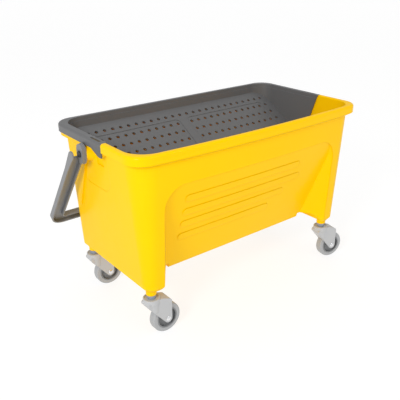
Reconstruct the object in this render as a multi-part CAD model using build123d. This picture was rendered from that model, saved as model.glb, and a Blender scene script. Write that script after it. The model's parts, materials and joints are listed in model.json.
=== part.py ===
from build123d import *

import math
import os

# Wringer bucket for a flat mop, in millimetres.
# Frame: origin on the floor under the middle of the bucket. +X runs along its length to the right,
# -Y is the front where the mop is dipped, +Z is up. The bail handle is folded down behind the tub.

# ---- Tub: a tapered box of even wall with a turned-out lip ----
TUB_TOP_HALF_X = 281.5        # outside of the wall at the rim
TUB_TOP_HALF_Y = 144.5
TUB_BASE_HALF_X = 262.0       # outside of the wall at the base
TUB_BASE_HALF_Y = 133.5
TUB_TOP_CORNER = 46.0         # vertical corner radius at the rim
TUB_BASE_CORNER = 20.0        # vertical corner radius at the base
TUB_TOP_BOW = 11.0            # how far the middle of the front stands proud of its ends, at the rim
TUB_BASE_BOW = 1.0
RIM_TOP = 384.0
BASE_Z = 104.5                # underside of the end parts, which carry the casters
TUB_WALL = 3.4
BASE_CHAMFER = 7.0            # the base edge leans in by this much ...
BASE_CHAMFER_HEIGHT = 9.0     # ... over this height

# ---- Lip round the rim ----
LIP_HALF_X = 290.0
LIP_HALF_Y = 151.5
LIP_CORNER = 37.0
LIP_BOTTOM = 367.0
LIP_BLEND_BOTTOM = 360.0      # where the blend under the lip meets the wall
LIP_ROUND = 5.0
LIP_INNER_CHAMFER = 1.6

# ---- Long sides: an arched panel that slopes in below the rim, leaving a leg at each corner ----
PANEL_TOP_Z = 315.0
PANEL_LOW_Z = 118.0
PANEL_LOW_Y = 85.0            # distance of the panel's lower edge from the middle plane
PANEL_LOW_BOW = 0.4
ARCH_HALF_WIDTH = 226.0
ARCH_CORNER = 46.0
ARCH_DEPTH = 50.0
ARCH_TAPER = 38.0             # the arch is this much narrower, each side, at its full depth
TOE_RADIUS = 12.0             # rounding at the foot of each leg
BELLY_HALF_X = 184.0          # the underside is raised to the panels' lower edge as far as this ...
GAP_OUTER_X = 232.0           # ... and beside each leg it is raised further, as far as this
GAP_TOP_Z = 127.0
GAP_HALF_Y = 128.0
GAP_CORNER = 26.0
STEP_HEIGHT = 1.2             # raised bands across each panel
BAND_HEIGHT = 15.0
BAND_LEFT_X = -176.0
BAND_TOPS_AND_RIGHT_ENDS = ((287.0, 123.0), (256.0, 135.0), (228.0, 96.0), (198.0, 60.0))

# ---- Wringer sieve: a cap over the back and both ends of the rim, with a sloping plate ----
FIT_GAP = 0.5                 # clearance round the sieve, so that it lifts straight out
SIEVE_WALL = 2.6
CAP_THICKNESS = 2.8
SKIRT_BOTTOM = 368.0          # lower edge of the cap outside the lip
CAP_FRONT_Y = -44.0           # the cap stops here, and the yellow lip comes up flush in front of it
SIEVE_LEDGE_Z = 376.0
SIEVE_LEDGE = 1.2
PLATE_SLOPE = 0.601           # rise of the plate towards the back
PLATE_MID_Z = 280.9           # height of the plate's upper face on the middle plane
PLATE_THICKNESS = 4.0
PLATE_FRONT_Y = -12.5
PLATE_LIP_DROP = 12.0         # turned-down stiffening edge at the plate's front
HOLE_DIAMETER = 7.6
HOLE_PITCH_X = 19.22
HOLE_PITCH_Y = 20.3
HOLE_SIDE_COLUMNS = 13        # columns each side of the middle one
HOLE_ROWS = 7
HOLE_BACK_ROW_Y = 118.0
FIELD_RECESS = 0.9            # the two perforated fields are pressed in by this much
FIELD_INNER_X = 10.5
FIELD_OUTER_X = 240.5
FIELD_BACK_Y = 108.0
FIELD_CORNER = 10.0
TONGUE_TIP_Z = 357.0
TONGUE_TOP_BACK_Y = -8.0
TONGUE_TIP_BACK_Y = -34.0
SLOT_FRONT_Y = -32.0
SLOT_BACK_Y = 3.0
SLOT_WIDTH = 4.5
SLOT_X = 283.2

# ---- Handle: one moulded bail of channel section ----
PIVOT_Y = 19.0
PIVOT_Z = 351.0
HANDLE_REST_ANGLE = 37.0      # from hanging straight down, swung to the back
CROSSBAR_BACK_Y = 168.5       # how far back the folded crossbar reaches
HANDLE_HALF_X = 318.0
CHANNEL_WIDTH = 26.0
CHANNEL_DEPTH = 11.0
CHANNEL_WALL = 3.0
BAIL_OUTER_CORNER = 32.0
BAIL_INNER_CORNER = 8.0
WEB_START = 12.0              # the web begins this far below the pivot
EAR_LENGTH = 40.0             # upright oval round the pivot, on the inner flange
EAR_WIDTH = 25.0
EAR_MARGIN = 1.0              # the oval's thick middle is this much smaller all round
EAR_THICKNESS = 8.0
EAR_FILLET = 5.0
OUTER_END_RADIUS = 8.5
OUTER_FLARE_LENGTH = 34.0
GRIP_SLOT_LENGTH = 15.0
GRIP_SLOT_WIDTH = 5.0
GRIP_SLOT_PITCH = 17.0
GRIP_SLOT_COUNT = 33
GRIP_SLOT_LEAN = 25.0

# ---- Handle pivots: a cone on each end wall with a pin pressed into it ----
SEAT_BASE_RADIUS = 17.0
SEAT_TIP_RADIUS = 13.0
SEAT_TIP_X = 291.6
PIN_RADIUS = 5.0
PIN_INNER_X = 281.6
PIN_HEAD_RADIUS = 6.5
PIN_HEAD_THICKNESS = 2.4
END_PLAY = 0.4                # sideways clearance of the handle and of the snap rings
RUNNING_FIT = 0.06            # radial clearance of turning pins
DRIVE_FIT = 0.02              # radial clearance of parts that are driven in

# ---- End walls: pad below the pivot, pocket behind the clip tongue and a shallow panel ----
PAD_THICKNESS = 3.2
PAD_FRONT_TOP = (14.0, 352.0)
PAD_FRONT_CREASE = (44.0, 317.0)
PAD_FRONT_LOW = (88.0, 220.0)
PAD_BACK_Y = 100.0
POCKET_DEPTH = 2.0
POCKET_FRONT_Y = -30.0
POCKET_BACK_Y = -6.0
POCKET_LOW_Z = 334.0
POCKET_CORNER = 3.0
SHALLOW_DEPTH = 0.5
SHALLOW_FRONT_Y = -44.0
SHALLOW_BACK_Y = 60.0
SHALLOW_LOW_Z = 284.0
SHALLOW_CORNER = 26.0

# ---- Casters: one under each corner ----
CASTER_X = 243.6
CASTER_Y = 112.4
BOSS_RADIUS = 10.4
BOSS_BOTTOM_Z = 94.5
BOSS_TOP_Z = 152.0
SLEEVE_RADIUS = 7.5
SLEEVE_COLLAR_RADIUS = 8.4
SLEEVE_COLLAR_BOTTOM_Z = 86.0
SLEEVE_TOP_Z = 134.0
STEM_RADIUS = 5.0
STEM_BOTTOM_Z = 65.0
STEM_TOP_Z = 142.0
RETAINER_RADIUS = 7.0
RETAINER_HEIGHT = 2.0
STEM_GROOVE_DEPTH = 0.8
STEM_CHAMFER = 1.0
RING_SIDE_GAP = 0.1           # clearance of a snap ring in its groove, each side
TRAIL = 29.0                  # the wheel runs this far behind its stem
WHEEL_RADIUS = 31.5
WHEEL_WIDTH = 17.0
HUB_RADIUS = 22.5
HUB_RIM_WIDTH = 17.8
HUB_RIM_WALL = 2.6
HUB_WEB = 5.0
HUB_BOSS_RADIUS = 7.5
HUB_BOSS_WIDTH = 18.6
TYRE_SHOULDER = 3.2
AXLE_RADIUS = 3.0
AXLE_HEAD_RADIUS = 5.5
AXLE_HEAD_HEIGHT = 2.4
YOKE_INNER_WIDTH = 19.8
YOKE_OUTER_WIDTH = 27.6
YOKE_POCKET_RADIUS = 34.0
CUP_RADIUS = 16.6
CUP_TOP_Z = 86.5
CUP_BOTTOM_Z = 75.5
CUP_RECESS_RADIUS = 13.4
CUP_RECESS_DEPTH = 1.1
CUP_ROUND = 1.2
HOOD_TOP_Z = 83.5             # the hood over the wheel ends below the cup's top
NECK_RADIUS = 15.4
NECK_BOTTOM_Z = 58.0
# Rounded corners of the yoke's side plate: distance behind the stem, height, radius.
YOKE_CORNERS = ((-9.5, 73.5, 5.5), (TRAIL, WHEEL_RADIUS, 8.5), (29.5, 69.0, 8.5), (14.0, 79.0, 5.0))
# How far each caster has swung from trailing straight to the right, in degrees.
CASTER_TURNS = {"front_left": 0.0, "back_left": -2.0, "front_right": -12.0, "back_right": -8.0}

# ---- Values that follow from the ones above ----
REST_RADIANS = math.radians(HANDLE_REST_ANGLE)
# Distance from the pivot line to the outer edge of the crossbar.
HANDLE_REACH = (
    CROSSBAR_BACK_Y - PIVOT_Y - CHANNEL_DEPTH / 2 * math.cos(REST_RADIANS)
) / math.sin(REST_RADIANS)
PIN_OUTER_X = HANDLE_HALF_X - CHANNEL_WIDTH + EAR_THICKNESS + END_PLAY
SIDES = {"left": -1, "right": 1}
CUT_MARGIN = 20.0             # how far cutting blocks run past what they cut
TOUCHING = 0.01               # points closer than this are the same


def between(low, high, z):
    """Value at height z of something that changes evenly from the base to the rim."""
    return low + (high - low) * (z - BASE_Z) / (RIM_TOP - BASE_Z)


def bowed_plan(half_x, half_y, corner, bow):
    """Rounded rectangle whose front edge is a shallow arc that bows forward."""
    back_left = (-half_x, half_y)
    back_right = (half_x, half_y)
    front_right = (half_x, -half_y)
    front_left = (-half_x, -half_y)
    outline = [
        Line(back_left, back_right),
        Line(back_right, front_right),
        ThreePointArc(front_right, (0, -half_y - bow), front_left),
        Line(front_left, back_left),
    ]
    face = make_face(outline)
    return fillet(face.vertices(), corner)


def wall_plan(z, inset=0.0):
    """Plan of the tub's wall at height z, drawn in by inset."""
    return Pos(0, 0, z) * bowed_plan(
        between(TUB_BASE_HALF_X, TUB_TOP_HALF_X, z) - inset,
        between(TUB_BASE_HALF_Y, TUB_TOP_HALF_Y, z) - inset,
        between(TUB_BASE_CORNER, TUB_TOP_CORNER, z) - inset,
        between(TUB_BASE_BOW, TUB_TOP_BOW, z),
    )


def lip_plan(z, inset=0.0):
    """Plan of the lip's outside, drawn in by inset."""
    plan = bowed_plan(LIP_HALF_X - inset, LIP_HALF_Y - inset, LIP_CORNER - inset, TUB_TOP_BOW)
    return Pos(0, 0, z) * plan


def slab(x_range, y_range, z_range):
    """Box between two values on each axis."""
    size = [high - low for low, high in (x_range, y_range, z_range)]
    middle = [(high + low) / 2 for low, high in (x_range, y_range, z_range)]
    return Pos(*middle) * Box(*size)


def behind(y):
    """Everything behind the given Y, as a cutting block."""
    return slab((-2 * LIP_HALF_X, 2 * LIP_HALF_X), (y, 2 * LIP_HALF_X), (0, 2 * RIM_TOP))


def in_front_of(y):
    """Everything in front of the given Y, as a cutting block."""
    return slab((-2 * LIP_HALF_X, 2 * LIP_HALF_X), (-2 * LIP_HALF_X, y), (0, 2 * RIM_TOP))


def prism_on_yz(points, x_range):
    """Prism along X whose outline is given as (y, z) points."""
    face = make_face(Polyline([(x_range[0], y, z) for y, z in points], close=True))
    return extrude(face, amount=x_range[1] - x_range[0], dir=(1, 0, 0))


# ---- Tub ----

def panel_wedge(shift):
    """Everything in front of the front panel's face, with that face moved back by shift."""
    wall_y = between(TUB_BASE_HALF_Y, TUB_TOP_HALF_Y, PANEL_TOP_Z)
    slope = (wall_y - PANEL_LOW_Y) / (PANEL_TOP_Z - PANEL_LOW_Z)
    top_bow = between(TUB_BASE_BOW, TUB_TOP_BOW, PANEL_TOP_Z)
    sections = []
    for z, bow in ((PANEL_LOW_Z - CUT_MARGIN, PANEL_LOW_BOW), (PANEL_TOP_Z + CUT_MARGIN, top_bow)):
        face_y = -PANEL_LOW_Y - slope * (z - PANEL_LOW_Z) + shift
        front_y = -LIP_HALF_Y - 4 * CUT_MARGIN
        back_left = (-TUB_TOP_HALF_X, face_y)
        back_right = (TUB_TOP_HALF_X, face_y)
        outline = [
            ThreePointArc(back_left, (0, face_y - bow), back_right),
            Line(back_right, (TUB_TOP_HALF_X, front_y)),
            Line((TUB_TOP_HALF_X, front_y), (-TUB_TOP_HALF_X, front_y)),
            Line((-TUB_TOP_HALF_X, front_y), back_left),
        ]
        sections.append(Pos(0, 0, z) * make_face(outline))
    return loft(sections, ruled=True)


def arch_outline(narrowing):
    """Arch on the front wall's own plane: X across, and height above the base along the wall."""
    half = ARCH_HALF_WIDTH - narrowing
    top = PANEL_TOP_Z - BASE_Z - narrowing
    bend = ARCH_CORNER - narrowing / 2
    toe = TOE_RADIUS
    diagonal = math.sqrt(0.5)
    right = [
        Line((half + toe, -CUT_MARGIN), (half + toe, 0)),
        ThreePointArc((half + toe, 0), (half + toe * (1 - diagonal), toe * (1 - diagonal)), (half, toe)),
        Line((half, toe), (half, top - bend)),
        ThreePointArc(
            (half, top - bend),
            (half - bend * (1 - diagonal), top - bend * (1 - diagonal)),
            (half - bend, top),
        ),
    ]
    left = [edge.mirror(Plane.YZ) for edge in right]
    top_line = Line((-half + bend, top), (half - bend, top))
    bottom_line = Line((-half - toe, -CUT_MARGIN), (half + toe, -CUT_MARGIN))
    return make_face(right + left + [top_line, bottom_line])


def arch_prism(grow):
    """The arch through the front wall, narrowing inwards, with every side moved out by grow."""
    draft = (TUB_TOP_HALF_Y - TUB_BASE_HALF_Y) / (RIM_TOP - BASE_Z)
    wall_plane = Plane(origin=(0, -TUB_BASE_HALF_Y, BASE_Z), x_dir=(1, 0, 0), z_dir=(0, -1, -draft))
    outline = arch_outline(-grow)
    outside = extrude(wall_plane * outline, amount=2 * CUT_MARGIN)
    deepest = wall_plane.offset(-ARCH_DEPTH - grow) * arch_outline(ARCH_TAPER - grow)
    inside = loft([wall_plane * outline, deepest])
    return outside + inside


def panel_bands():
    """Long rounded bands across the panel, running through it from front to back."""
    bands = []
    for top, right_end in BAND_TOPS_AND_RIGHT_ENDS:
        outline = SlotOverall(right_end - BAND_LEFT_X, BAND_HEIGHT)
        middle_x = (right_end + BAND_LEFT_X) / 2
        plane = Plane(origin=(middle_x, 0, top - BAND_HEIGHT / 2), x_dir=(1, 0, 0), z_dir=(0, -1, 0))
        bands.append(extrude(plane * outline, amount=LIP_HALF_Y))
    return bands


def front_recess():
    """What is taken out of the front wall: the arch in front of the panel, less its raised bands."""
    wedge = panel_wedge(0.0)
    skin = wedge - panel_wedge(-STEP_HEIGHT)
    for band in panel_bands():
        wedge = wedge - (skin & band)
    return wedge & arch_prism(0.0)


def tub_outside():
    """The tub's outer form before the panels are taken out, with the leaning base edge."""
    heights = ((BASE_Z, BASE_CHAMFER), (BASE_Z + BASE_CHAMFER_HEIGHT, 0.0), (RIM_TOP, 0.0))
    return loft([wall_plan(z, inset) for z, inset in heights], ruled=True)


def tub_inside():
    """The space inside the tub, before the backs of the panels are left standing in it."""
    heights = (BASE_Z + TUB_WALL, BASE_Z + BASE_CHAMFER_HEIGHT, RIM_TOP + CUT_MARGIN)
    insets = (TUB_WALL + BASE_CHAMFER / 2, TUB_WALL, TUB_WALL)
    body = loft([wall_plan(z, inset) for z, inset in zip(heights, insets)], ruled=True)
    belly = slab(
        (-BELLY_HALF_X - TUB_WALL, BELLY_HALF_X + TUB_WALL),
        (-TUB_TOP_HALF_Y, TUB_TOP_HALF_Y),
        (0, PANEL_LOW_Z + TUB_WALL),
    )
    return body - belly


def lip_envelope():
    """Solid of the lip's outside, rounded over at the top and blended into the wall below."""
    band = extrude(lip_plan(LIP_BOTTOM), amount=RIM_TOP - LIP_BOTTOM)
    top_edges = band.edges().group_by(Axis.Z)[-1]
    band = fillet(top_edges, LIP_ROUND)
    blend = loft([wall_plan(LIP_BLEND_BOTTOM, TUB_WALL / 2), lip_plan(LIP_BOTTOM)], ruled=True)
    return band + blend


def lip_core():
    """The lower, drawn-in lip that the sieve's cap covers."""
    inset = CAP_THICKNESS + FIT_GAP
    top = RIM_TOP - CAP_THICKNESS - FIT_GAP
    return extrude(lip_plan(LIP_BLEND_BOTTOM, inset), amount=top - LIP_BLEND_BOTTOM)


def end_pad(side):
    """Thin raised pad behind and below a handle pivot, with a front edge that slants back."""
    top_z = LIP_BOTTOM
    outline = [
        (PAD_FRONT_TOP[0], top_z),
        PAD_FRONT_TOP,
        PAD_FRONT_CREASE,
        PAD_FRONT_LOW,
        (PAD_BACK_Y, PAD_FRONT_LOW[1]),
        (PAD_BACK_Y, top_z),
    ]
    block = prism_on_yz(outline, (0, LIP_HALF_X))
    proud = loft([wall_plan(z, -PAD_THICKNESS) for z in (BASE_Z, RIM_TOP)], ruled=True)
    keep = slab((0, 2 * LIP_HALF_X), (-LIP_HALF_Y, LIP_HALF_Y), (0, LIP_BOTTOM))
    pad = block & proud & keep
    return pad if side > 0 else pad.mirror(Plane.YZ)


def end_shallow_cut(side):
    """Shallow U-shaped panel pressed into an end wall, and the deeper pocket behind the clip tongue."""
    cuts = None
    regions = (
        (SHALLOW_DEPTH, SHALLOW_FRONT_Y, SHALLOW_BACK_Y, SHALLOW_LOW_Z, SHALLOW_CORNER),
        (POCKET_DEPTH, POCKET_FRONT_Y, POCKET_BACK_Y, POCKET_LOW_Z, POCKET_CORNER),
    )
    for depth, front_y, back_y, low_z, corner in regions:
        height = LIP_BLEND_BOTTOM - low_z
        width = back_y - front_y
        outline = Rectangle(width, height + 2 * corner)
        lower = outline.vertices().group_by(Axis.Y)[0]
        outline = fillet(lower, corner)
        plane = Plane(
            origin=(0, (front_y + back_y) / 2, low_z + height / 2 + corner), x_dir=(0, 1, 0), z_dir=(1, 0, 0)
        )
        block = extrude(plane * outline, amount=LIP_HALF_X)
        kept = loft([wall_plan(z, depth) for z in (BASE_Z, RIM_TOP)], ruled=True)
        below_lip = slab((0, 2 * LIP_HALF_X), (-LIP_HALF_Y, LIP_HALF_Y), (0, LIP_BLEND_BOTTOM))
        cut = (block & below_lip) - kept
        cuts = cut if cuts is None else cuts + cut
    return cuts if side > 0 else cuts.mirror(Plane.YZ)


def pivot_seat(side):
    """Cone on an end wall that carries the handle's pivot pin."""
    wall_x = between(TUB_BASE_HALF_X, TUB_TOP_HALF_X, PIVOT_Z) - TUB_WALL / 2
    cone = Cone(SEAT_BASE_RADIUS, SEAT_TIP_RADIUS, SEAT_TIP_X - wall_x)
    seat = Pos((wall_x + SEAT_TIP_X) / 2, PIVOT_Y, PIVOT_Z) * Rot(0, 90, 0) * cone
    return seat if side > 0 else seat.mirror(Plane.YZ)


def pin_hole(side):
    """Blind hole in the seat for the pressed pin."""
    length = SEAT_TIP_X - PIN_INNER_X + CUT_MARGIN
    hole = Cylinder(PIN_RADIUS + DRIVE_FIT, length, align=(Align.CENTER, Align.CENTER, Align.MIN))
    return Pos(side * (PIN_INNER_X - END_PLAY), PIVOT_Y, PIVOT_Z) * Rot(0, 90 * side, 0) * hole


def caster_places():
    """Name and plan position of each caster."""
    return {
        "front_left": (-CASTER_X, -CASTER_Y),
        "front_right": (CASTER_X, -CASTER_Y),
        "back_left": (-CASTER_X, CASTER_Y),
        "back_right": (CASTER_X, CASTER_Y),
    }


def upright(radius, low, high):
    """Cylinder on the Z axis between two heights."""
    return Pos(0, 0, low) * Cylinder(radius, high - low, align=(Align.CENTER, Align.CENTER, Align.MIN))


def leg_gaps(grow):
    """Round-cornered tunnels under the tub beside its end parts, with their sides moved out by grow."""
    tunnel = slab(
        (BELLY_HALF_X - grow, GAP_OUTER_X + grow),
        (-GAP_HALF_Y - grow, GAP_HALF_Y + grow),
        (0, GAP_TOP_Z + grow),
    )
    upper_edges = tunnel.edges().filter_by(Axis.X).group_by(Axis.Z)[-1]
    tunnel = fillet(upper_edges, GAP_CORNER + grow)
    return [tunnel, tunnel.mirror(Plane.YZ)]


def make_tub():
    """The yellow tub, one moulding."""
    outside = tub_outside()
    inside = tub_inside()
    recess = front_recess()
    recess_back = panel_wedge(TUB_WALL) & arch_prism(TUB_WALL)
    for mirrored in (recess, recess.mirror(Plane.XZ)):
        outside = outside - mirrored
    for mirrored in (recess_back, recess_back.mirror(Plane.XZ)):
        inside = inside - mirrored
    outside = outside - slab((-BELLY_HALF_X, BELLY_HALF_X), (-LIP_HALF_Y, LIP_HALF_Y), (0, PANEL_LOW_Z))
    for tunnel in leg_gaps(0.0):
        outside = outside - tunnel
    for tunnel in leg_gaps(TUB_WALL):
        inside = inside - tunnel
    covered = CAP_FRONT_Y - FIT_GAP
    lip = (lip_envelope() & in_front_of(covered)) + (lip_core() & behind(covered))
    core_top = RIM_TOP - CAP_THICKNESS - FIT_GAP
    above_core = behind(covered) & slab(
        (-2 * LIP_HALF_X, 2 * LIP_HALF_X), (-2 * LIP_HALF_X, 2 * LIP_HALF_X), (core_top, 2 * RIM_TOP)
    )
    tub = (outside - above_core) + lip
    for side in SIDES.values():
        tub = tub - end_shallow_cut(side)
        tub = tub + end_pad(side) + pivot_seat(side)
    tub = tub - inside
    # The cone that chamfers the mouth starts inside the cavity and crosses the wall's inner face.
    full = TUB_WALL - LIP_INNER_CHAMFER
    steps = (-2 * LIP_INNER_CHAMFER, LIP_INNER_CHAMFER)
    mouth_cone = loft([wall_plan(RIM_TOP + step, full - step) for step in steps], ruled=True)
    tub = tub - mouth_cone
    for x, y in caster_places().values():
        tub = tub + Pos(x, y, 0) * upright(BOSS_RADIUS, BOSS_BOTTOM_Z, BOSS_TOP_Z)
        tub = tub - Pos(x, y, 0) * upright(SLEEVE_RADIUS + DRIVE_FIT, BOSS_BOTTOM_Z, BOSS_TOP_Z - TUB_WALL)
    for side in SIDES.values():
        tub = tub - pin_hole(side)
    return tub


# ---- Wringer sieve ----

def plate_half_space(drop):
    """Everything above the plate's upper face lowered by drop along its normal."""
    lean = math.atan(PLATE_SLOPE)
    reach = 3 * LIP_HALF_X
    block = Pos(0, 0, reach / 2 - drop) * Box(reach, reach, reach)
    return Pos(0, 0, PLATE_MID_Z) * Rot(math.degrees(lean), 0, 0) * block


def behind_slant(shift=0.0):
    """Everything behind the slanting front edge of the sieve, moved back by shift."""
    low_z = PLATE_MID_Z + PLATE_SLOPE * PLATE_FRONT_Y
    lean = (PLATE_FRONT_Y - CAP_FRONT_Y) / (RIM_TOP - low_z)
    bottom_z = low_z - 4 * CUT_MARGIN
    top_z = RIM_TOP + CUT_MARGIN
    outline = [
        (PLATE_FRONT_Y + lean * (low_z - bottom_z) + shift, bottom_z),
        (PLATE_FRONT_Y - lean * (top_z - low_z) + shift, top_z),
        (2 * LIP_HALF_Y, top_z),
        (2 * LIP_HALF_Y, bottom_z),
    ]
    return prism_on_yz(outline, (-2 * LIP_HALF_X, 2 * LIP_HALF_X))


def sieve_block(inset):
    """Solid that fills the tub's mouth, drawn in by inset from the outside of the tub's wall."""
    heights = (PLATE_MID_Z - 3 * CUT_MARGIN, RIM_TOP)
    return loft([wall_plan(z, inset) for z in heights], ruled=True)


def sieve_holes():
    """Drain holes square to the plate; the middle column has only its rearmost hole."""
    lean = math.degrees(math.atan(PLATE_SLOPE))
    holes = []
    for row in range(HOLE_ROWS):
        y = HOLE_BACK_ROW_Y - row * HOLE_PITCH_Y
        for column in range(-HOLE_SIDE_COLUMNS, HOLE_SIDE_COLUMNS + 1):
            if column == 0 and row > 0:
                continue
            place = Pos(column * HOLE_PITCH_X, y, PLATE_MID_Z + PLATE_SLOPE * y)
            holes.append(place * Rot(lean, 0, 0) * Cylinder(HOLE_DIAMETER / 2, 4 * PLATE_THICKNESS))
    return holes


def sieve_fields():
    """The two shallow rectangles that the perforated fields are pressed into."""
    lean = math.degrees(math.atan(PLATE_SLOPE))
    along = 1 / math.cos(math.radians(lean))
    length = (FIELD_BACK_Y - PLATE_FRONT_Y) * along + 2 * CUT_MARGIN
    width = FIELD_OUTER_X - FIELD_INNER_X
    fields = []
    for side in SIDES.values():
        outline = Rectangle(width, length)
        outline = fillet(outline.vertices().group_by(Axis.Y)[-1], FIELD_CORNER)
        middle_x = side * (FIELD_INNER_X + FIELD_OUTER_X) / 2
        middle_y = FIELD_BACK_Y - length / 2 / along
        place = Pos(middle_x, middle_y, PLATE_MID_Z + PLATE_SLOPE * middle_y)
        fields.append(place * Rot(lean, 0, 0) * extrude(outline, amount=FIELD_RECESS, both=True))
    return fields


def sieve_cap():
    """Inverted channel that sits over the tub's lip along the back and both ends."""
    envelope = lip_envelope() - slab(
        (-2 * LIP_HALF_X, 2 * LIP_HALF_X), (-2 * LIP_HALF_Y, 2 * LIP_HALF_Y), (0, SKIRT_BOTTOM)
    )
    seat = extrude(lip_plan(0, CAP_THICKNESS), amount=RIM_TOP - CAP_THICKNESS)
    mouth = sieve_block(TUB_WALL + FIT_GAP + SIEVE_WALL)
    return (envelope - seat - mouth) & behind(CAP_FRONT_Y)


def clip_tongues():
    """Tongues at the front ends of the cap's skirt, with a sloping rear edge."""
    outline = [
        (CAP_FRONT_Y, RIM_TOP - LIP_ROUND),
        (CAP_FRONT_Y, TONGUE_TIP_Z),
        (TONGUE_TIP_BACK_Y, TONGUE_TIP_Z),
        (TONGUE_TOP_BACK_Y, SKIRT_BOTTOM),
        (TONGUE_TOP_BACK_Y, RIM_TOP - LIP_ROUND),
    ]
    tongue = prism_on_yz(outline, (LIP_HALF_X - CAP_THICKNESS, LIP_HALF_X))
    tip = (LIP_HALF_X, TONGUE_TIP_BACK_Y, TONGUE_TIP_Z)
    rear_corner = tongue.edges().filter_by(Axis.X).sort_by_distance(tip)[0]
    tongue = fillet(rear_corner, CAP_THICKNESS)
    return tongue + tongue.mirror(Plane.YZ)


def cap_slots():
    """Long slots through the top of the cap, beside each tongue."""
    length = SLOT_BACK_Y - SLOT_FRONT_Y
    outline = SlotOverall(length, SLOT_WIDTH, rotation=90)
    slots = []
    for side in SIDES.values():
        place = Pos(side * SLOT_X, (SLOT_BACK_Y + SLOT_FRONT_Y) / 2, RIM_TOP - CAP_THICKNESS - FIT_GAP / 2)
        slots.append(place * extrude(outline, amount=2 * CAP_THICKNESS))
    return slots


def make_sieve():
    """The grey wringer sieve, one moulding: cap, walls and perforated plate."""
    outer = sieve_block(TUB_WALL + FIT_GAP)
    inner = sieve_block(TUB_WALL + FIT_GAP + SIEVE_WALL)
    walls = (outer - inner) & plate_half_space(PLATE_THICKNESS)
    plate = (outer & plate_half_space(PLATE_THICKNESS)) - plate_half_space(0.0)
    body = (walls + plate) & behind_slant()
    lip_low_z = PLATE_MID_Z + PLATE_SLOPE * PLATE_FRONT_Y - PLATE_LIP_DROP
    drop = slab((-LIP_HALF_X, LIP_HALF_X), (-LIP_HALF_Y, LIP_HALF_Y), (lip_low_z, RIM_TOP))
    edge = (outer & behind_slant() & drop) - behind_slant(SIEVE_WALL) - plate_half_space(PLATE_THICKNESS / 2)
    body = body + edge
    for field in sieve_fields():
        body = body - field
    for hole in sieve_holes():
        body = body - hole
    sieve = body + sieve_cap() + clip_tongues()
    ledge_inset = TUB_WALL + FIT_GAP + SIEVE_WALL - SIEVE_LEDGE
    ledge = loft([wall_plan(z, ledge_inset) for z in (SIEVE_LEDGE_Z, RIM_TOP + SIEVE_LEDGE)], ruled=True)
    sieve = sieve - ledge
    for slot in cap_slots():
        sieve = sieve - slot
    return sieve


# ---- Handle ----

def bail_face(margin, top):
    """U-shaped band of the bail, drawn in by margin from both outlines; it hangs from the pivot line."""
    outer_half = HANDLE_HALF_X - margin
    inner_half = HANDLE_HALF_X - CHANNEL_WIDTH + margin
    outer = slab_face((-outer_half, outer_half), (-HANDLE_REACH + margin, top), BAIL_OUTER_CORNER - margin)
    inner_low = -HANDLE_REACH + CHANNEL_WIDTH - margin
    inner = slab_face((-inner_half, inner_half), (inner_low, top + CUT_MARGIN), BAIL_INNER_CORNER + margin)
    return outer - inner


def slab_face(x_range, z_range, corner):
    """Rectangle with its two lower corners rounded."""
    width = x_range[1] - x_range[0]
    height = z_range[1] - z_range[0]
    face = Pos((x_range[0] + x_range[1]) / 2, (z_range[0] + z_range[1]) / 2) * Rectangle(width, height)
    return fillet(face.vertices().group_by(Axis.Y)[0], corner)


def bail_plate(face, back_y, thickness):
    """The U-shaped face stood up across the bail, from back_y forwards by thickness."""
    plane = Plane(origin=(0, back_y, 0), x_dir=(1, 0, 0), z_dir=(0, -1, 0))
    return extrude(plane * face, amount=thickness)


def ear_oval(margin):
    """Oval round the pivot in the swing plane, upright when the handle is folded."""
    lean = 90 - HANDLE_REST_ANGLE
    return make_face(SlotOverall(EAR_LENGTH - 2 * margin, EAR_WIDTH - 2 * margin, rotation=lean).edges())


def inner_flange_end():
    """The oval with the channel's flange leaving it, the inner corners rounded."""
    strip = Pos(0, -OUTER_FLARE_LENGTH / 2) * Rectangle(CHANNEL_DEPTH, OUTER_FLARE_LENGTH)
    face = ear_oval(0.0) + strip
    corners = [v for v in face.vertices() if on_strip_side(v) and v.Y > -EAR_LENGTH / 2]
    return fillet(corners, EAR_FILLET)


def on_strip_side(vertex):
    """Whether a vertex lies on a side of the channel's flange."""
    return math.isclose(abs(vertex.X), CHANNEL_DEPTH / 2, abs_tol=TOUCHING)


def outer_flange_end():
    """A small disc at the pivot that narrows to the channel's flange."""
    tip = Pos(0, -OUTER_FLARE_LENGTH - OUTER_END_RADIUS / 2) * Rectangle(CHANNEL_DEPTH, OUTER_END_RADIUS)
    return make_hull(Circle(OUTER_END_RADIUS).edges() + tip.edges())


def swing_plate(face, x, thickness, side):
    """A face of the swing plane, given for the right side, as a plate from x outwards."""
    plane = Plane(origin=(x, 0, 0), x_dir=(0, 1, 0), z_dir=(1, 0, 0))
    plate = extrude(plane * face, amount=thickness)
    return plate if side > 0 else plate.mirror(Plane.YZ)


def grip_slots():
    """Leaning oval slots through the crossbar's web."""
    slots = []
    middle_z = -HANDLE_REACH + CHANNEL_WIDTH / 2
    plane = Plane(origin=(0, CHANNEL_DEPTH, 0), x_dir=(1, 0, 0), z_dir=(0, -1, 0))
    outline = SlotOverall(GRIP_SLOT_LENGTH, GRIP_SLOT_WIDTH, rotation=90 - GRIP_SLOT_LEAN)
    for index in range(GRIP_SLOT_COUNT):
        x = (index - (GRIP_SLOT_COUNT - 1) / 2) * GRIP_SLOT_PITCH
        slots.append(extrude(plane * (Pos(x, middle_z) * outline), amount=CHANNEL_DEPTH))
    return slots


def place_handle(shape):
    """From the handle's own frame, hanging from its pivot, to its folded place behind the tub."""
    return Pos(0, PIVOT_Y, PIVOT_Z) * Rot(HANDLE_REST_ANGLE, 0, 0) * shape


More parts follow.
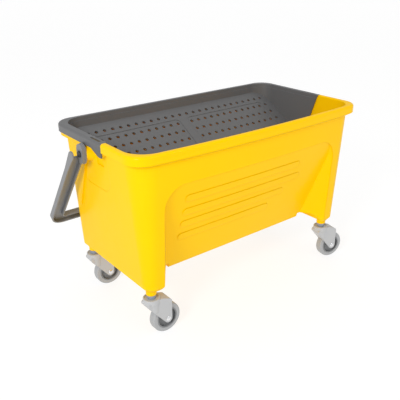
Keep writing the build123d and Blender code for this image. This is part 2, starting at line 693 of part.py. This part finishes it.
def make_handle():
    """The grey bail, one moulding of channel section, open to the front."""
    bail = bail_plate(bail_face(0.0, 0.0), CHANNEL_DEPTH / 2, CHANNEL_DEPTH)
    web_front = CHANNEL_DEPTH / 2 - CHANNEL_WALL
    bail = bail - bail_plate(bail_face(CHANNEL_WALL, -WEB_START), web_front, CHANNEL_DEPTH)
    above_web = bail_face(CHANNEL_WALL, CUT_MARGIN) - Pos(0, -HANDLE_REACH - WEB_START) * Rectangle(
        3 * HANDLE_HALF_X, 2 * HANDLE_REACH
    )
    bail = bail - bail_plate(above_web, CHANNEL_DEPTH, 2 * CHANNEL_DEPTH)
    inner_x = HANDLE_HALF_X - CHANNEL_WIDTH
    for side in SIDES.values():
        bail = bail + swing_plate(inner_flange_end(), inner_x, CHANNEL_WALL, side)
        bail = bail + swing_plate(ear_oval(EAR_MARGIN), inner_x, EAR_THICKNESS, side)
        bail = bail + swing_plate(outer_flange_end(), HANDLE_HALF_X - CHANNEL_WALL, CHANNEL_WALL, side)
        bore = Cylinder(PIN_RADIUS + RUNNING_FIT, 3 * EAR_THICKNESS)
        bail = bail - Pos(side * inner_x, 0, 0) * Rot(0, 90, 0) * bore
    for slot in grip_slots():
        bail = bail - slot
    return place_handle(bail)


def make_pivot_pin(side):
    """Headed pin, driven into the cone on the end wall, that the handle turns on."""
    base = (Align.CENTER, Align.CENTER, Align.MIN)
    shank = Cylinder(PIN_RADIUS, PIN_OUTER_X - PIN_INNER_X, align=base)
    head = Pos(0, 0, PIN_OUTER_X - PIN_INNER_X) * Cylinder(PIN_HEAD_RADIUS, PIN_HEAD_THICKNESS, align=base)
    head = chamfer(head.edges().group_by(Axis.Z)[-1], PIN_HEAD_THICKNESS / 2)
    return Pos(side * PIN_INNER_X, PIVOT_Y, PIVOT_Z) * Rot(0, 90 * side, 0) * (shank + head)


# ---- Casters: each is made at the origin, trailing towards +X, then turned and put in place ----

def across(radius, width):
    """Cylinder on the wheel's axis."""
    return Pos(TRAIL, 0, WHEEL_RADIUS) * Rot(90, 0, 0) * Cylinder(radius, width)


def make_sleeve():
    """Bearing sleeve driven up into the tub's boss, with a collar under it."""
    sleeve = upright(SLEEVE_RADIUS, BOSS_BOTTOM_Z, SLEEVE_TOP_Z)
    collar = upright(SLEEVE_COLLAR_RADIUS, SLEEVE_COLLAR_BOTTOM_Z, BOSS_BOTTOM_Z)
    bore = upright(STEM_RADIUS + RUNNING_FIT, 0, RIM_TOP)
    return sleeve + collar - bore


def make_stem():
    """Steel stem riveted into the yoke, with a groove for its retaining ring near the top."""
    stem = upright(STEM_RADIUS, STEM_BOTTOM_Z, STEM_TOP_Z)
    stem = chamfer(stem.edges().group_by(Axis.Z)[-1], STEM_CHAMFER)
    groove_low = SLEEVE_TOP_Z + END_PLAY
    groove = upright(2 * STEM_RADIUS, groove_low, groove_low + RETAINER_HEIGHT)
    core = upright(STEM_RADIUS - STEM_GROOVE_DEPTH, groove_low, groove_low + RETAINER_HEIGHT)
    return stem - (groove - core)


def make_retainer():
    """Snap ring in the stem's groove that keeps the caster in its sleeve."""
    low = SLEEVE_TOP_Z + END_PLAY
    ring = upright(RETAINER_RADIUS, low + RING_SIDE_GAP, low + RETAINER_HEIGHT - RING_SIDE_GAP)
    ring = ring - upright(STEM_RADIUS - STEM_GROOVE_DEPTH + DRIVE_FIT, low, low + RETAINER_HEIGHT)
    mouth = slab((0, 2 * RETAINER_RADIUS), (-STEM_RADIUS / 2, STEM_RADIUS / 2), (low, low + RETAINER_HEIGHT))
    return ring - mouth


def yoke_side():
    """Outline of the yoke seen from the side: a hull round its rounded corners."""
    edges = ShapeList()
    for u, z, radius in YOKE_CORNERS:
        edges += (Pos(u, z) * Circle(radius)).edges()
    return make_hull(edges)


def make_yoke():
    """Moulded yoke: a cup under the tub's boss that narrows into two side plates."""
    side_plane = Plane(origin=(0, YOKE_OUTER_WIDTH, 0), x_dir=(1, 0, 0), z_dir=(0, -1, 0))
    outline = side_plane * yoke_side()
    wide = extrude(outline, amount=2 * YOKE_OUTER_WIDTH)
    half_width = YOKE_OUTER_WIDTH / 2
    plates = wide & slab((-WHEEL_RADIUS, 3 * WHEEL_RADIUS), (-half_width, half_width), (0, HOOD_TOP_Z))
    neck = upright(NECK_RADIUS, NECK_BOTTOM_Z, CUP_BOTTOM_Z) & wide
    cup = upright(CUP_RADIUS, CUP_BOTTOM_Z, CUP_TOP_Z)
    cup = fillet(cup.edges().group_by(Axis.Z)[-1], CUP_ROUND)
    yoke = plates + neck + cup
    yoke = yoke - across(YOKE_POCKET_RADIUS, YOKE_INNER_WIDTH)
    yoke = yoke - upright(CUP_RECESS_RADIUS, CUP_TOP_Z - CUP_RECESS_DEPTH, RIM_TOP)
    yoke = yoke - upright(STEM_RADIUS + DRIVE_FIT, STEM_BOTTOM_Z, RIM_TOP)
    return yoke - across(AXLE_RADIUS + DRIVE_FIT, 2 * YOKE_OUTER_WIDTH)


def make_axle():
    """Steel axle with a domed head at each end, riveted through the side plates."""
    dome_radius = (AXLE_HEAD_RADIUS ** 2 + AXLE_HEAD_HEIGHT ** 2) / (2 * AXLE_HEAD_HEIGHT)
    half = YOKE_OUTER_WIDTH / 2
    axle = across(AXLE_RADIUS, YOKE_OUTER_WIDTH)
    for end in SIDES.values():
        centre_y = end * (half + AXLE_HEAD_HEIGHT - dome_radius)
        dome = Pos(TRAIL, centre_y, WHEEL_RADIUS) * Sphere(dome_radius)
        outside = slab(
            (0, 2 * TRAIL), sorted((end * half, end * 2 * half)), (WHEEL_RADIUS - TRAIL, WHEEL_RADIUS + TRAIL)
        )
        axle = axle + (dome & outside)
    return axle


def make_hub():
    """Moulded wheel hub: rim, thin web and a boss that turns on the axle."""
    hub = across(HUB_RADIUS, HUB_RIM_WIDTH) - across(HUB_RADIUS - HUB_RIM_WALL, HUB_RIM_WIDTH)
    hub = hub + across(HUB_RADIUS - HUB_RIM_WALL / 2, HUB_WEB) + across(HUB_BOSS_RADIUS, HUB_BOSS_WIDTH)
    return hub - across(AXLE_RADIUS + RUNNING_FIT, 2 * HUB_BOSS_WIDTH)


def make_tyre():
    """Soft tyre moulded round the hub, with rounded shoulders."""
    tyre = across(WHEEL_RADIUS, WHEEL_WIDTH)
    tyre = fillet(tyre.edges().filter_by(GeomType.CIRCLE), TYRE_SHOULDER)
    return tyre - across(HUB_RADIUS + DRIVE_FIT, 2 * WHEEL_WIDTH)


def caster_parts():
    """Node name to solid for all four casters."""
    makers = {
        "sleeve": make_sleeve,
        "stem": make_stem,
        "retainer": make_retainer,
        "yoke": make_yoke,
        "axle": make_axle,
        "hub": make_hub,
        "tyre": make_tyre,
    }
    parts = {}
    for piece, make in makers.items():
        shape = make()
        for name, (x, y) in caster_places().items():
            parts[f"caster_{name}_{piece}"] = Pos(x, y, 0) * Rot(0, 0, CASTER_TURNS[name]) * shape
    return parts


def all_parts():
    """Node name to solid for the whole bucket."""
    parts = {"tub": make_tub(), "wringer_sieve": make_sieve(), "bail_handle": make_handle()}
    for name, side in SIDES.items():
        parts[f"handle_pin_{name}"] = make_pivot_pin(side)
    parts.update(caster_parts())
    return parts


def main():
    os.makedirs("parts", exist_ok=True)
    for name, shape in all_parts().items():
        export_step(shape, f"parts/{name}.step")


if __name__ == "__main__":
    main()
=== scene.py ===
import json
import math

import bpy
from mathutils import Matrix, Vector

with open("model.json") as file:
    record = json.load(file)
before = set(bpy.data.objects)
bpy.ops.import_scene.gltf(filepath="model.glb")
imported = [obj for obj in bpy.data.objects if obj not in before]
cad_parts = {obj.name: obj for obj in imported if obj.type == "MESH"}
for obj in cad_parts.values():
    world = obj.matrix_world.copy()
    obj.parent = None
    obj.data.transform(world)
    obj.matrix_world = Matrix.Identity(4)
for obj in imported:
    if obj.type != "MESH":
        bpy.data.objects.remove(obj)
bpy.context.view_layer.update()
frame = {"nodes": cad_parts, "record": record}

WHITE = (1.0, 1.0, 1.0)

# ---- Camera: stands in front of the left end, above the rim, looking down at the bucket ----
CAMERA_PLACE = (-0.717, -0.8666, 0.6823)
CAMERA_YAW = 38.16            # degrees from +Y towards +X
CAMERA_PITCH = 23.99          # degrees below the horizon
CAMERA_ROLL = -0.36
CAMERA_LENS = 49.65           # mm
CAMERA_SENSOR = 36.0          # mm
CAMERA_REACH = 50.0           # how far the camera sees

# ---- Studio: a lamp has its place, its size across and up, and its power in watts ----
LAMPS = {
    "key_light": ((-1.7, -0.9, 1.3), (0.45, 0.45), 20.0),
    "front_light": ((0.6, -2.2, 1.6), (1.6, 1.0), 7.0),
    "top_light": ((0.0, 0.3, 2.4), (1.4, 1.4), 6.0),
}
LAMP_TARGET = (0.0, 0.0, 0.2)
SURROUNDINGS_STRENGTH = 0.64
FLOOR_LENGTH = 60.0
FLOOR_COLOUR = (0.22, 0.22, 0.22)   # low, because the floor also glows
FLOOR_GLOW = 0.80             # keeps the shadows as faint as in a product studio
FLOOR_MOTTLE = 0.985          # the darker patches, as a share of the floor's colour
FLOOR_MOTTLE_SCALE = 3.0      # patches per metre
FLOOR_ROUGHNESS = 0.6
FLOOR_SPECULAR = 0.2

# ---- Colours, as linear values ----
YELLOW = (1.0, 0.60, 0.0)
YELLOW_DEEP = (0.98, 0.55, 0.0)
YELLOW_SHEEN = (1.0, 0.75, 0.03)
YELLOW_COAT = 0.12            # thin clear sheen that catches the lamps on rounded edges
COAT_ROUGHNESS = 0.12
SIEVE_GREY = (0.114, 0.115, 0.118)
HANDLE_GREY = (0.20, 0.203, 0.21)
CASTER_GREY = (0.47, 0.475, 0.48)
HUB_GREY = (0.20, 0.205, 0.21)
TREAD_GREY = (0.40, 0.405, 0.41)
PIN_GREY = (0.02, 0.02, 0.022)
SLEEVE_GREY = (0.27, 0.31, 0.38)
ZINC = (0.80, 0.81, 0.83)

# ---- Surface detail that every moulded material has; scales are in cycles per metre ----
DRIFT_SCALE = 9.0             # slow change of colour
DRIFT_SHARE = 0.6             # how far it goes towards the second colour
GLOSS_SCALE = 38.0            # patches of more and less gloss
GLOSSIER = 0.06               # taken off the roughness in the glossiest patches ...
DULLER = 0.10                 # ... and added to it in the dullest
WAVE_SCALE = 22.0             # slight waviness of a moulded wall
WAVE_STRENGTH = 0.10
WAVE_HEIGHT = 0.0016
GRAIN_SCALE = 1500.0          # fine texture of the mould
GRAIN_HEIGHT = 0.0002
BEVEL_SAMPLES = 4
SMOOTH_ANGLE = math.radians(32.0)


def node(tree, kind, **settings):
    """A new shader node with its properties set."""
    made = tree.nodes.new(kind)
    for key, value in settings.items():
        setattr(made, key, value)
    return made


def noise(tree, coordinates, scale, detail, roughness=0.5):
    """A noise texture in object space, scale in cycles per metre."""
    made = node(tree, "ShaderNodeTexNoise")
    made.inputs["Scale"].default_value = scale
    made.inputs["Detail"].default_value = detail
    made.inputs["Roughness"].default_value = roughness
    tree.links.new(coordinates, made.inputs["Vector"])
    return made.outputs["Fac"]


def remap(tree, value, low, high):
    """A 0 to 1 value spread from low to high."""
    made = node(tree, "ShaderNodeMapRange")
    made.inputs["To Min"].default_value = low
    made.inputs["To Max"].default_value = high
    tree.links.new(value, made.inputs["Value"])
    return made.outputs["Result"]


def mixed(tree, factor, first, second):
    """A colour between two colours."""
    made = node(tree, "ShaderNodeMix", data_type="RGBA")
    made.inputs["A"].default_value = (*first, 1.0)
    made.inputs["B"].default_value = (*second, 1.0)
    tree.links.new(factor, made.inputs["Factor"])
    return made.outputs["Result"]


def bumped(tree, height, strength, distance, normal):
    """A bump from a height value, on top of another normal."""
    made = node(tree, "ShaderNodeBump")
    made.inputs["Strength"].default_value = strength
    made.inputs["Distance"].default_value = distance
    tree.links.new(height, made.inputs["Height"])
    tree.links.new(normal, made.inputs["Normal"])
    return made.outputs["Normal"]


def scaled(colour, share):
    """The same colour, lighter or darker."""
    return tuple(channel * share for channel in colour)


def new_material(name):
    """A material with its node tree and its main shader."""
    material = bpy.data.materials.new(name)
    material.use_nodes = True
    tree = material.node_tree
    return material, tree, tree.nodes["Principled BSDF"]


def moulded(name, colour, second, roughness, grain, edge,
            metallic=0.0, specular=0.5, sheen_colour=WHITE):
    """Moulded or plated material: drifting colour, patchy gloss, fine grain and softened edges."""
    material, tree, shader = new_material(name)
    shader.inputs["Metallic"].default_value = metallic
    shader.inputs["Specular IOR Level"].default_value = specular
    shader.inputs["Specular Tint"].default_value = (*sheen_colour, 1.0)
    place = node(tree, "ShaderNodeTexCoord").outputs["Object"]
    drift = remap(tree, noise(tree, place, DRIFT_SCALE, 3.0), 0.0, DRIFT_SHARE)
    tree.links.new(mixed(tree, drift, colour, second), shader.inputs["Base Color"])
    patches = noise(tree, place, GLOSS_SCALE, 4.0, 0.6)
    gloss = remap(tree, patches, roughness - GLOSSIER, roughness + DULLER)
    tree.links.new(gloss, shader.inputs["Roughness"])
    soft = node(tree, "ShaderNodeBevel", samples=BEVEL_SAMPLES)
    soft.inputs["Radius"].default_value = edge
    waves = noise(tree, place, WAVE_SCALE, 2.0)
    wavy = bumped(tree, waves, WAVE_STRENGTH, WAVE_HEIGHT, soft.outputs["Normal"])
    fine = bumped(tree, noise(tree, place, GRAIN_SCALE, 2.0), grain, GRAIN_HEIGHT, wavy)
    tree.links.new(fine, shader.inputs["Normal"])
    return material


def tub_yellow():
    """Yellow of the tub, with a thin clear sheen over it."""
    material = moulded("tub_yellow", YELLOW, YELLOW_DEEP,
                       roughness=0.40, grain=0.10, edge=0.0022, specular=0.07, sheen_colour=YELLOW_SHEEN)
    shader = material.node_tree.nodes["Principled BSDF"]
    shader.inputs["Coat Weight"].default_value = YELLOW_COAT
    shader.inputs["Coat Roughness"].default_value = COAT_ROUGHNESS
    return material


def sieve_grey():
    """Satin grey of the press sieve."""
    return moulded("sieve_grey", SIEVE_GREY, scaled(SIEVE_GREY, 1.1),
                   roughness=0.42, grain=0.16, edge=0.0006)


def handle_grey():
    """Satin grey of the bail, lighter than the sieve."""
    return moulded("handle_grey", HANDLE_GREY, scaled(HANDLE_GREY, 1.08),
                   roughness=0.42, grain=0.14, edge=0.0006)


def caster_grey():
    """Light grey of the caster yokes."""
    return moulded("caster_grey", CASTER_GREY, scaled(CASTER_GREY, 1.06),
                   roughness=0.38, grain=0.12, edge=0.0008)


def hub_grey():
    """Darker grey of the wheel hubs."""
    return moulded("hub_grey", HUB_GREY, scaled(HUB_GREY, 1.1),
                   roughness=0.45, grain=0.12, edge=0.0005)


def tread_grey():
    """Dull grey rubber of the tyres."""
    return moulded("tread_grey", TREAD_GREY, scaled(TREAD_GREY, 0.93),
                   roughness=0.62, grain=0.30, edge=0.0008)


def pin_dark():
    """Nearly black plastic of the handle pins."""
    return moulded("pin_dark", PIN_GREY, scaled(PIN_GREY, 1.4),
                   roughness=0.45, grain=0.12, edge=0.0004)


def sleeve_blue_grey():
    """Blue-grey of the bearing sleeves that show under the tub's bosses."""
    return moulded("sleeve_blue_grey", SLEEVE_GREY, scaled(SLEEVE_GREY, 1.1),
                   roughness=0.35, grain=0.08, edge=0.0004)


def zinc_plate():
    """Plating of the stems, snap rings and axles."""
    return moulded("zinc_plate", ZINC, scaled(ZINC, 0.9),
                   roughness=0.24, grain=0.06, edge=0.0003, metallic=1.0)


def dress(name, material):
    """Puts a material on a CAD node and smooths its shading between gentle faces."""
    piece = frame["nodes"][name]
    piece.data.materials.clear()
    piece.data.materials.append(material)
    piece.data.shade_smooth()
    piece.data.set_sharp_from_angle(angle=SMOOTH_ANGLE)


def dress_all():
    """A material for every CAD node, by its slot in the record; the hubs have their own."""
    finishes = {
        "tub_plastic": tub_yellow(),
        "sieve_plastic": sieve_grey(),
        "handle_plastic": handle_grey(),
        "caster_plastic": caster_grey(),
        "hub": hub_grey(),
        "caster_tread": tread_grey(),
        "pin_plastic": pin_dark(),
        "sleeve_plastic": sleeve_blue_grey(),
        "steel": zinc_plate(),
    }
    for part in frame["record"]["subparts"]:
        finish = "hub" if part["node"].endswith("_hub") else part["material_slot"]
        dress(part["node"], finishes[finish])


def floor_material():
    """Plain matt white studio floor with a trace of mottling."""
    material, tree, shader = new_material("studio_floor")
    shader.inputs["Roughness"].default_value = FLOOR_ROUGHNESS
    shader.inputs["Specular IOR Level"].default_value = FLOOR_SPECULAR
    place = node(tree, "ShaderNodeTexCoord").outputs["Object"]
    mottle = noise(tree, place, FLOOR_MOTTLE_SCALE, 2.0)
    faint = scaled(FLOOR_COLOUR, FLOOR_MOTTLE)
    tree.links.new(mixed(tree, mottle, FLOOR_COLOUR, faint), shader.inputs["Base Color"])
    shader.inputs["Emission Color"].default_value = (*WHITE, 1.0)
    shader.inputs["Emission Strength"].default_value = FLOOR_GLOW
    return material


def area_light(name, place, size, power):
    """Rectangular soft light that faces the middle of the bucket."""
    data = bpy.data.lights.new(name, "AREA")
    data.shape = "RECTANGLE"
    data.size, data.size_y = size
    data.energy = power
    lamp = bpy.data.objects.new(name, data)
    lamp.location = place
    lamp.rotation_euler = (Vector(LAMP_TARGET) - Vector(place)).to_track_quat("-Z", "Y").to_euler()
    bpy.context.scene.collection.objects.link(lamp)


def studio():
    """White floor, white surroundings and soft lights."""
    bpy.ops.mesh.primitive_plane_add(size=FLOOR_LENGTH)
    floor = bpy.context.object
    floor.name = "studio_floor"
    floor.data.materials.append(floor_material())
    world = bpy.data.worlds.new("studio")
    world.use_nodes = True
    background = world.node_tree.nodes["Background"]
    background.inputs["Color"].default_value = (*WHITE, 1.0)
    background.inputs["Strength"].default_value = SURROUNDINGS_STRENGTH
    bpy.context.scene.world = world
    for name, (place, size, power) in LAMPS.items():
        area_light(name, place, size, power)
    bpy.context.scene.view_settings.view_transform = "Standard"


def place_camera():
    """The camera, from its yaw, pitch and roll."""
    yaw, pitch, roll = (math.radians(a) for a in (CAMERA_YAW, CAMERA_PITCH, CAMERA_ROLL))
    ahead = Vector((math.sin(yaw) * math.cos(pitch), math.cos(yaw) * math.cos(pitch), -math.sin(pitch)))
    right = Vector((math.cos(yaw), -math.sin(yaw), 0.0))
    up = right.cross(ahead)
    turned_right = right * math.cos(roll) + up * math.sin(roll)
    turned_up = up * math.cos(roll) - right * math.sin(roll)
    data = bpy.data.cameras.new("camera")
    data.lens = CAMERA_LENS
    data.sensor_width = CAMERA_SENSOR
    data.clip_end = CAMERA_REACH
    camera = bpy.data.objects.new("camera", data)
    turn = Matrix((turned_right, turned_up, -ahead)).transposed()
    camera.matrix_world = Matrix.Translation(CAMERA_PLACE) @ turn.to_4x4()
    bpy.context.scene.collection.objects.link(camera)
    bpy.context.scene.camera = camera


dress_all()
studio()
place_camera()
